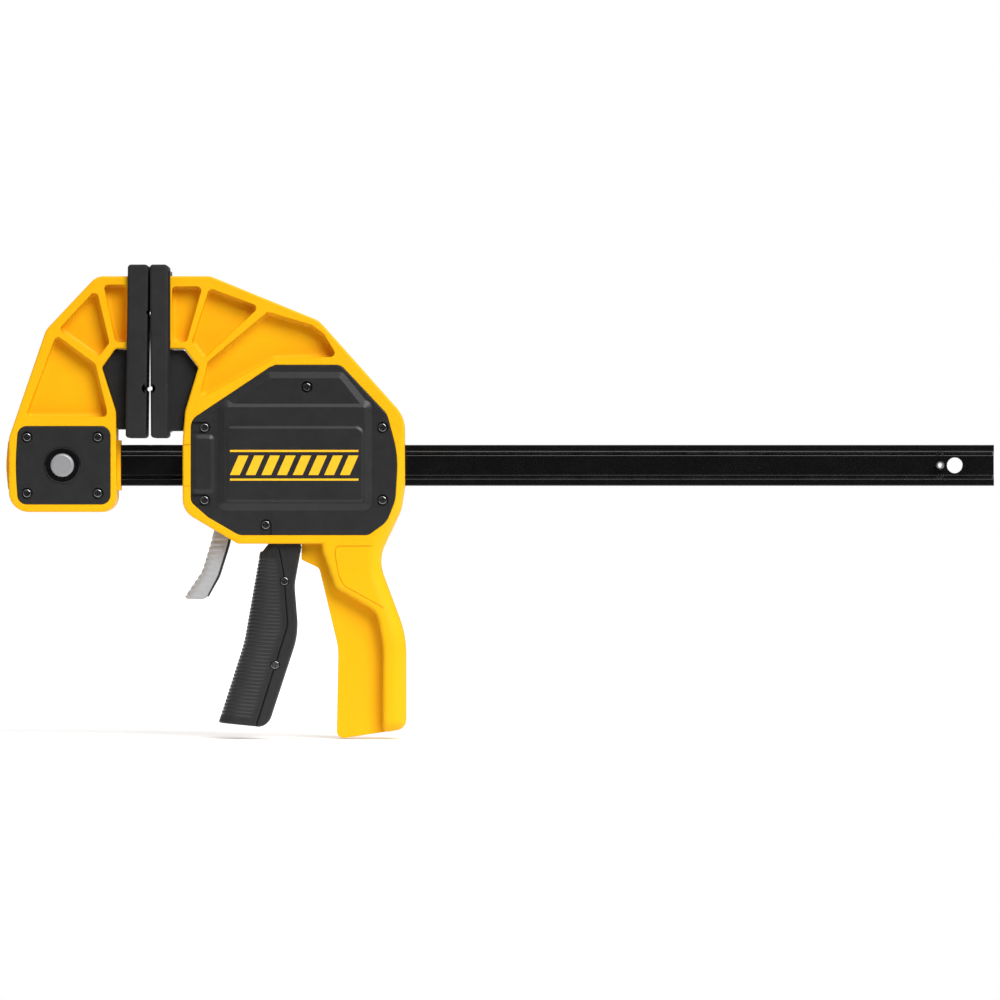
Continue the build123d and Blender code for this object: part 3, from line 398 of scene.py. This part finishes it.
def trigger_section(z, floor_z, inset, side):
    """Ring of half the grip: out round the nose to the seam, and back along the core."""
    front = x_at(grip_front_edge, z) + inset
    slope = 2.0 * (-42.5 - z) / 105.3
    rear = x_at(grip_seam_edge, z - slope)
    reach = (rear - front) * 0.75
    half = grip_half_width - inset
    power = 2 / 4.4
    outer = []
    for step in range(19):
        angle = math.radians(90 * step / 18)
        outer.append((front + reach * (1 - math.cos(angle) ** power), half * math.sin(angle) ** power))
    outer += [(front + reach + (rear - front - reach) * step / 8, half) for step in range(1, 8)]
    outer += [(rear - 0.15, half - 0.05), (rear, half - 0.5)]
    dip = rib_dip(z, -52.0, -144.5, trigger_rib_pitch, trigger_rib_depth)
    ring = []
    for index, (x, y) in enumerate(outer):
        ahead = outer[min(index + 1, len(outer) - 1)]
        behind = outer[max(index - 1, 0)]
        along = Vector((ahead[0] - behind[0], ahead[1] - behind[1])).normalized()
        fade = min(1.0, max(0.0, (rear - 1.6 - x) / 3.0))
        x += along.y * dip * fade
        y -= along.x * dip * fade
        ring.append((x, side * max(y, 0.0), z - slope * (x - front) / (rear - front)))
    core = max(x_at(grip_core_edge, z), front + 0.6)
    depth = grip_core_half if z > floor_z else 0.0
    inner = [(rear, depth), (core + (rear - core) * 0.5, depth), (core + 0.1, depth), (core, 0.0)]
    ring += [(x, side * y, z - slope * (x - front) / (rear - front)) for x, y in inner]
    return ring


def trigger_grip(name, side):
    """One ribbed half of the grip, with its screw recesses."""
    top, bottom, edge_round = -42.5, -147.8, 1.1
    count = round((top - bottom - edge_round) / (trigger_rib_pitch / 8))
    levels = [top + (bottom + edge_round - top) * step / count for step in range(count + 1)]
    levels = sorted({*levels, grip_floor_z, grip_floor_z - 0.02}, reverse=True)
    rings = [trigger_section(z, grip_floor_z - 0.01, 0.0, side) for z in levels]
    for step in range(1, 5):
        angle = math.radians(90 * step / 4)
        z = bottom + edge_round * (1 - math.sin(angle))
        rings.append(trigger_section(z, grip_floor_z - 0.01, edge_round * (1 - math.cos(angle)), side))
    grip = loft(name, rings, 30.0)
    outside = (side * (grip_half_width - 1.7), side * (grip_half_width + 3))
    cutters = [barrel(x, z, trigger_recess_diameter, outside) for x, z in trigger_screw_places]
    cutters += [block((55.0, 95.0), (-grip_core_half, grip_core_half), (-49.4, -40.0))]
    carve(grip, cutters, 30.0)
    return grip


# ---------------------------------------------------------------- release lever grip
lever_front_edge = rounded_path([(37.6, -34.5), (29.8, -60.5), (19.8, -75.4), (20.6, -77.0)], [15, 0.6])
lever_rear_edge = rounded_path([(46.1, -34.5), (45.0, -44.6), (39.2, -63.4), (33.4, -74.6), (31.2, -77.0)], [18, 18, 4])
lever_plate_line = rounded_path([(47.5, -20.0), (44.8, -44.6), (38.9, -63.4), (32.4, -74.9), (30.0, -79.0)], [18, 18, 0])
lever_half_width = box_mm("brake_grip")[1].y
lever_rib_pitch = 3.1
lever_rib_depth = 0.55


def lever_section(z, inset):
    """Ring round the release grip: a full front, flat sides and a squared back."""
    front = x_at(lever_front_edge, z) + inset
    rear = x_at(lever_rear_edge, z) - inset
    half = lever_half_width - inset
    middle = front + (rear - front) * 0.62
    dip = rib_dip(z, -40.0, -76.0, lever_rib_pitch, lever_rib_depth)
    ring = []
    for step in range(48):
        angle = math.radians(360 * step / 48)
        across, forward = math.sin(angle), math.cos(angle)
        power = 2 / 3.0 if forward > 0 else 2 / 9.0
        reach = middle - front if forward > 0 else rear - middle
        x = middle - math.copysign(reach * abs(forward) ** power, forward)
        y = math.copysign(half * abs(across) ** power, across)
        fade = min(1.0, max(0.0, (rear - 2.2 - x) / 2.5)) * dip
        ring.append((x + fade * max(forward, 0.0), y - fade * across, z))
    return ring


def lever_grip():
    """Ribbed release grip with the slot that its steel plate sits in."""
    top, bottom, edge_round = -34.5, -77.0, 1.2
    count = round((top - bottom - edge_round) / (lever_rib_pitch / 10))
    rings = [lever_section(top + (bottom + edge_round - top) * step / count, 0.0) for step in range(count + 1)]
    for step in range(1, 5):
        angle = math.radians(90 * step / 4)
        rings.append(lever_section(bottom + edge_round * (1 - math.sin(angle)), edge_round * (1 - math.cos(angle))))
    grip = loft("release_lever_grip", rings, 30.0)
    carve(grip, [plate_cutter()], 30.0)
    return grip


def plate_cutter(thickness=2.6, half_width=7.1):
    """Bent strip along the lever's plate."""
    rings = []
    for index, point in enumerate(lever_plate_line):
        ahead = lever_plate_line[min(index + 1, len(lever_plate_line) - 1)]
        behind = lever_plate_line[max(index - 1, 0)]
        along = (ahead - behind).normalized()
        across = Vector((-along.y, along.x)) * thickness / 2
        low, high = point - across, point + across
        sides = ((low, -1), (high, -1), (high, 1), (low, 1))
        rings.append([(p.x, side * half_width, p.y) for p, side in sides])
    return loft("cutter", rings)


# ---------------------------------------------------------------- pads
upper_notch = (87.6, 1.0, 10.0)
lower_notch = (44.0, 1.2)
pad_wall = 3.3
pad_corner = 2.0
pad_rim = 1.3


def pad_outline(face_top, face_bottom, back_top, back_bottom, top, bottom):
    """Outline of a pad seen from the side: rounded corners and the lower notch in its face."""
    corners = [(back_top, top), (face_top, top), (face_bottom, bottom), (back_bottom, bottom)]
    outline = []
    for index in range(4):
        before, corner, after = corners[index - 1], corners[index], corners[(index + 1) % 4]
        arc = rounded_path([before, corner, after], [pad_corner])[1:-1]
        outline += arc
        if index == 1:
            level, radius = lower_notch
            face_x = face_top + (face_bottom - face_top) * (top - level) / (top - bottom)
            inward = 1 if back_top > face_top else -1
            for step in range(9):
                angle = math.pi * step / 8
                across = inward * radius * math.sin(angle)
                outline.append(Vector((face_x + across, level + radius * math.cos(angle))))
    return outline


def inset_outline(outline, distance, inward_sign):
    """The outline moved inwards by that distance."""
    moved = []
    for before, point, after in zip(outline[-1:] + outline[:-1], outline, outline[1:] + outline[:1]):
        along = (after - before).normalized()
        moved.append(point + Vector((-along.y, along.x)) * distance * inward_sign)
    return moved


def pad(name, node, direction, face_top, face_bottom, back_top, back_bottom):
    """Soft cup-shaped pad with rounded rims, pushed over its carrier's plate."""
    low, high = box_mm(node)
    outline = pad_outline(
        direction * face_top, direction * face_bottom, direction * back_top, direction * back_bottom, high.z, low.z
    )
    # Insets and distances from the side face, from the flat of the face round to the full outline
    quarter = [(pad_rim * (1 - math.sin(a)), pad_rim * (1 - math.cos(a))) for a in (0, 0.4, 0.8, 1.2, math.pi / 2)]
    steps = [(pad_rim + 0.4, 0.0), *quarter]
    rings = []
    for side, turns in ((FRONT, steps), (BACK, reversed(steps))):
        for inset, drop in turns:
            rings.append([(p.x, side * (high.y - drop), p.y) for p in inset_outline(outline, inset, direction)])
    soft = loft(name, rings, 40.0)
    inner = high.y - pad_wall
    pocket = block(sorted((direction * 6.5, direction * 30)), (-inner, inner), (low.z + pad_wall, high.z - pad_wall - 0.2))
    level, radius, depth = upper_notch
    face_x = direction * (face_top + (face_bottom - face_top) * (high.z - level) / (high.z - low.z))
    notches = [barrel(face_x, level, 2 * radius, (side * (high.y - depth), side * 30)) for side in (FRONT, BACK)]
    carve(soft, [pocket, *notches], 40.0)
    return soft


# ---------------------------------------------------------------- springs
def spring(name, start, along, length, diameter, wire, turns):
    """Compression spring with closed ends, from start along a direction."""
    along = Vector(along)
    side = Vector((0, 0, 1))
    other = along.cross(side)
    radius = (diameter - wire) / 2
    steps_per_turn = 28
    total = (turns + 1.5) * steps_per_turn
    rise = length - wire
    centres = []
    for step in range(int(total) + 1):
        share = step / total
        # The last three quarters of a turn at each end lie nearly flat
        flat = 0.75 / (turns + 1.5)
        climb = min(1.0, max(0.0, (share - flat) / (1 - 2 * flat)))
        angle = 2 * math.pi * step / steps_per_turn
        climb = climb * (rise - 1.5 * wire) + 0.75 * wire * (min(share, flat) + max(share - 1 + flat, 0)) / flat
        centres.append(
            Vector(start)
            + along * (wire / 2 + climb)
            + (side * math.cos(angle) + other * math.sin(angle)) * radius
        )
    rings = []
    for index, centre in enumerate(centres):
        ahead = centres[min(index + 1, len(centres) - 1)]
        behind = centres[max(index - 1, 0)]
        tangent = (ahead - behind).normalized()
        across = tangent.cross(along).normalized()
        up = across.cross(tangent)
        circle = [2 * math.pi * k / 10 for k in range(10)]
        rings.append([centre + (across * math.cos(a) + up * math.sin(a)) * wire / 2 for a in circle])
    return loft(name, rings, 50.0)


def build_springs():
    """The four springs, each as long as the box of the CAD node that it replaces."""
    for node in ("drive_spring_upper", "drive_spring_lower"):
        low, high = box_mm(node)
        start = (low.x, 0, (low.z + high.z) / 2)
        coil = spring(f"{node}_coil", start, (1, 0, 0), high.x - low.x, 7.0, 1.0, 5)
        dress(coil, finishes["spring_steel"], "moving_jaw", "spring_steel", node)
        length = high.x - low.x
        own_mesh(coil)
    low, high = box_mm("brake_spring")
    start = (low.x, 0, (low.z + high.z) / 2)
    length = high.x - low.x
    coil = spring("brake_spring_coil", start, (1, 0, 0), length, 8.0, 1.0, 4)
    dress(coil, finishes["spring_steel"], "moving_jaw", "spring_steel", "brake_spring")
    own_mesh(coil)
    low, high = box_mm("latch_spring")
    start = ((low.x + high.x) / 2, low.y, (low.z + high.z) / 2)
    length = high.y - low.y
    coil = spring("latch_spring_coil", start, (0, 1, 0), length, 7.6, 0.8, 3)
    dress(coil, finishes["spring_steel"], "bar_and_fixed_jaw", "spring_steel", "latch_spring")
    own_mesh(coil)


# ---------------------------------------------------------------- printed badge
def badge():
    """Plain warning stripes between two fine lines, printed on the cover's raised field."""
    surface = box_mm("housing_cover_front")[0].y
    left, right = 46.3, 119.9
    line_half, line_level, thickness = 0.6, 8.2, 0.06
    bar_half, lean, bar_width, gap = 5.6, 5.0, 5.6, 3.2
    mesh = bmesh.new()

    def slab(corners):
        """Flat piece of print with the given corners in the XZ plane."""
        top = [mesh.verts.new((x, surface - thickness, z)) for x, z in corners]
        under = [mesh.verts.new((x, surface + 0.05, z)) for x, z in corners]
        mesh.faces.new(top)
        mesh.faces.new(under)
        for index in range(len(corners)):
            after = (index + 1) % len(corners)
            mesh.faces.new((top[index], top[after], under[after], under[index]))

    for level in (line_level, -line_level):
        low, high = level - line_half, level + line_half
        slab([(left, low), (right, low), (right, high), (left, high)])
    bars = int((right - left - lean + gap) / (bar_width + gap))
    step = (right - left - lean - bar_width) / (bars - 1)
    for number in range(bars):
        x = left + number * step
        slab([(x, -bar_half), (x + bar_width, -bar_half), (x + bar_width + lean, bar_half), (x + lean, bar_half)])
    print_piece = finish_mesh(mesh, "cover_stripes")
    dress(print_piece, print_ink, "moving_jaw", "yellow_nylon")


# ---------------------------------------------------------------- assemble
def build_pieces():
    """Everything that is modelled here and rides on the frame."""
    for name, side in (("trigger_grip_front", FRONT), ("trigger_grip_back", BACK)):
        half = trigger_grip(f"{name}_ribbed", side)
        dress(half, grip_plastic, "trigger", "black_plastic", name)
    dress(lever_grip(), finishes["silver_plastic"], "release_lever", "silver_plastic", "brake_grip")
    fixed = pad("fixed_pad_soft", "fixed_pad", -1, 0.4, 1.7, 12.2, 13.5)
    dress(fixed, finishes["pad_rubber"], "bar_and_fixed_jaw", "pad_rubber", "fixed_pad")
    moving = pad("moving_pad_soft", "moving_pad", 1, 0.3, 1.0, 10.8, 10.8)
    dress(moving, finishes["pad_rubber"], "moving_jaw", "pad_rubber", "moving_pad")
    build_springs()
    badge()


# ---------------------------------------------------------------- stage, lights and camera
def build_stage():
    """Pale floor just under the lowest point, and a white room round it."""
    floor_z = cad_box[0].z - 0.0005
    mesh = bmesh.new()
    reach, front = 30.0, -0.4
    corners = [(-reach, front), (reach, front), (reach, reach), (-reach, reach)]
    mesh.faces.new([mesh.verts.new((x, y, floor_z)) for x, y in corners])
    data = bpy.data.meshes.new("floor")
    mesh.to_mesh(data)
    mesh.free()
    floor = bpy.data.objects.new("floor", data)
    bpy.context.scene.collection.objects.link(floor)
    data.materials.append(floor_paper())
    world = bpy.data.worlds.new("studio")
    bpy.context.scene.world = world
    world.use_nodes = True
    tree = world.node_tree
    # The room lights the clamp from above and stays dark on the side that it is looked at from
    direction = add_node(tree, "ShaderNodeTexCoord")
    split = add_node(tree, "ShaderNodeSeparateXYZ")
    tree.links.new(direction.outputs["Generated"], split.inputs["Vector"])
    rise = add_node(tree, "ShaderNodeMapRange", {"From Min": 0.0, "From Max": 1.0, "To Min": 0.25, "To Max": 0.9})
    tree.links.new(split.outputs["Z"], rise.inputs["Value"])
    dark = add_node(tree, "ShaderNodeMapRange", {"From Min": -1.0, "From Max": -0.4, "To Min": 0.12, "To Max": 1.0})
    tree.links.new(split.outputs["Y"], dark.inputs["Value"])
    strength = add_node(tree, "ShaderNodeMath", operation="MULTIPLY")
    tree.links.new(rise.outputs["Result"], strength.inputs[0])
    tree.links.new(dark.outputs["Result"], strength.inputs[1])
    room = tree.nodes["Background"]
    room.inputs["Color"].default_value = (1.0, 1.0, 1.0, 1.0)
    tree.links.new(strength.outputs["Value"], room.inputs["Strength"])
    seen = add_node(tree, "ShaderNodeBackground", {"Color": (1.0, 1.0, 1.0, 1.0), "Strength": 1.0})
    ray = add_node(tree, "ShaderNodeLightPath")
    mix = add_node(tree, "ShaderNodeMixShader")
    tree.links.new(ray.outputs["Is Camera Ray"], mix.inputs["Fac"])
    tree.links.new(room.outputs["Background"], mix.inputs[1])
    tree.links.new(seen.outputs["Background"], mix.inputs[2])
    tree.links.new(mix.outputs["Shader"], tree.nodes["World Output"].inputs["Surface"])


def distant_lamp(name, direction, strength, spread):
    """Even light over the whole stage, soft by its spread in degrees."""
    light = bpy.data.lights.new(name, "SUN")
    light.energy = strength
    light.angle = math.radians(spread)
    lamp = bpy.data.objects.new(name, light)
    lamp.rotation_euler = Vector(direction).to_track_quat("Z", "Y").to_euler()
    bpy.context.scene.collection.objects.link(lamp)


def build_lights():
    """Broad key from the front and upper right, and a weaker light from behind."""
    distant_lamp("key", (0.42, -0.75, 0.62), 3.0, 35.0)
    distant_lamp("rear", (-0.2, 0.8, 0.6), 0.8, 50.0)


def build_camera():
    """Long lens square on to the side with the button."""
    distance, frame_width = 5.45, 0.574
    face_y = -0.010
    data = bpy.data.cameras.new("camera")
    data.sensor_width = 36.0
    data.lens = data.sensor_width * distance / frame_width
    data.clip_start, data.clip_end = 0.1, 100.0
    camera = bpy.data.objects.new("camera", data)
    camera.location = (0.2010, face_y - distance, -0.0199)
    camera.rotation_euler = (math.radians(90), 0, 0)
    bpy.context.scene.collection.objects.link(camera)
    bpy.context.scene.camera = camera


dress_cad_nodes()
build_pieces()
build_stage()
build_lights()
build_camera()
bpy.context.scene.view_settings.view_transform = "Standard"

bpy.context.view_layer.update()
